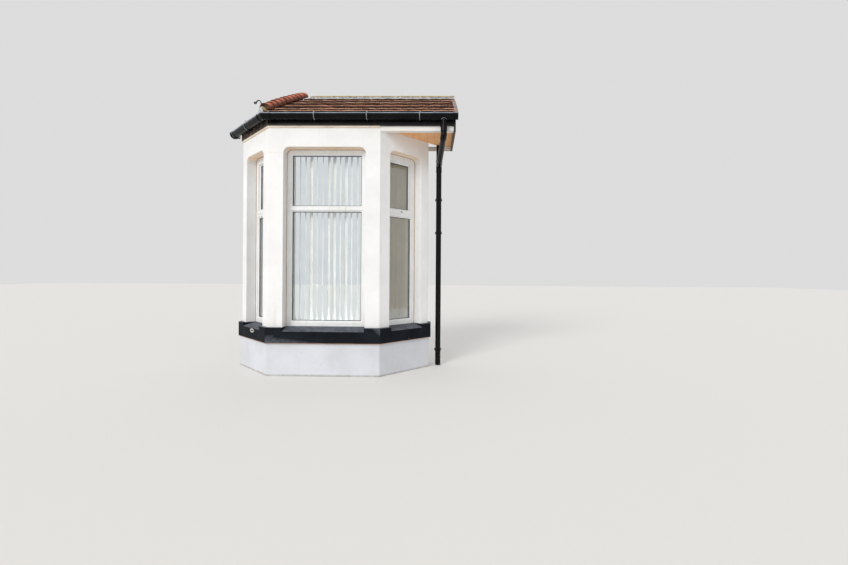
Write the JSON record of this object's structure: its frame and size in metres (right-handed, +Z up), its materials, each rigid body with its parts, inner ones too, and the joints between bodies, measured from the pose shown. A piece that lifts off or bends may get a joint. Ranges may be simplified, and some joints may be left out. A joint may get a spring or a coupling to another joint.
{
  "type": "canted bay window",
  "caption": "Ground-floor canted bay window of an old terraced house with rendered piers, painted cill, white frames, blinds, tiled hipped roof, gutter and downpipe.",
  "frame": {"origin": "middle of the bay on the outer face of the house wall, at ground level, on the floor slab's underside", "axes": "+X to the right seen from the street, +Y into the house, +Z up"},
  "size_m": [3.1664, 0.928, 3.8772],
  "materials": {
    "render": "white masonry paint on textured cement render",
    "cill_paint": "black satin masonry paint on stone",
    "frame_white": "smooth white window plastic, slightly glossy",
    "glass": "clear float glass",
    "blind_vane": "off-white matt stiff vanes",
    "concrete": "trowelled concrete",
    "floorboard": "planed softwood boards",
    "plaster": "painted plaster",
    "timber": "sawn softwood",
    "roof_tile": "weathered plain clay tile, matt",
    "hip_tile": "terracotta, matt, bedded in mortar",
    "lead": "dull weathered lead",
    "black_paint": "black gloss paint on timber",
    "soffit_cream": "cream-white boards",
    "black_plastic": "black satin rainwater goods"
  },
  "bodies": {
    "root": {"plinth_front": "render", "plinth_left": "render", "plinth_right": "render", "pier_wall_left": "render", "pier_corner_left": "render", "pier_corner_right": "render", "pier_wall_right": "render", "lintel_front": "render", "lintel_left": "render", "lintel_right": "render", "cill_front": "cill_paint", "cill_left": "cill_paint", "cill_right": "cill_paint", "window_frame_front": "frame_white", "window_frame_left": "frame_white", "window_frame_right": "frame_white", "toplight_left": "frame_white", "toplight_right": "frame_white", "window_board": "frame_white", "glass_front": "glass", "glass_left": "glass", "glass_right": "glass", "blind_front": "blind_vane", "blind_left": "blind_vane", "blind_right": "blind_vane", "floor_slab": "concrete", "floor_boards": "floorboard", "ceiling": "plaster", "ceiling_joists": "timber", "wall_plate": "timber", "rafters": "timber", "hip_rafter": "timber", "wall_ledger": "timber", "battens": "timber", "tiles_front": "roof_tile", "tiles_left": "roof_tile", "hip_tiles": "hip_tile", "wall_flashing": "lead", "fascia_front": "black_paint", "fascia_left": "black_paint", "verge_board": "black_paint", "end_board": "black_paint", "eaves_strip": "soffit_cream", "soffit_right": "soffit_cream", "soffit_trim": "soffit_cream", "eaves_beam": "soffit_cream", "gutter_front": "black_plastic", "gutter_left": "black_plastic", "gutter_angle": "black_plastic", "gutter_brackets": "black_plastic", "gutter_outlet": "black_plastic", "swan_neck": "black_plastic", "pipe_branch": "black_plastic", "downpipe": "black_plastic", "pipe_brackets": "black_plastic"}
  },
  "joints": []
}
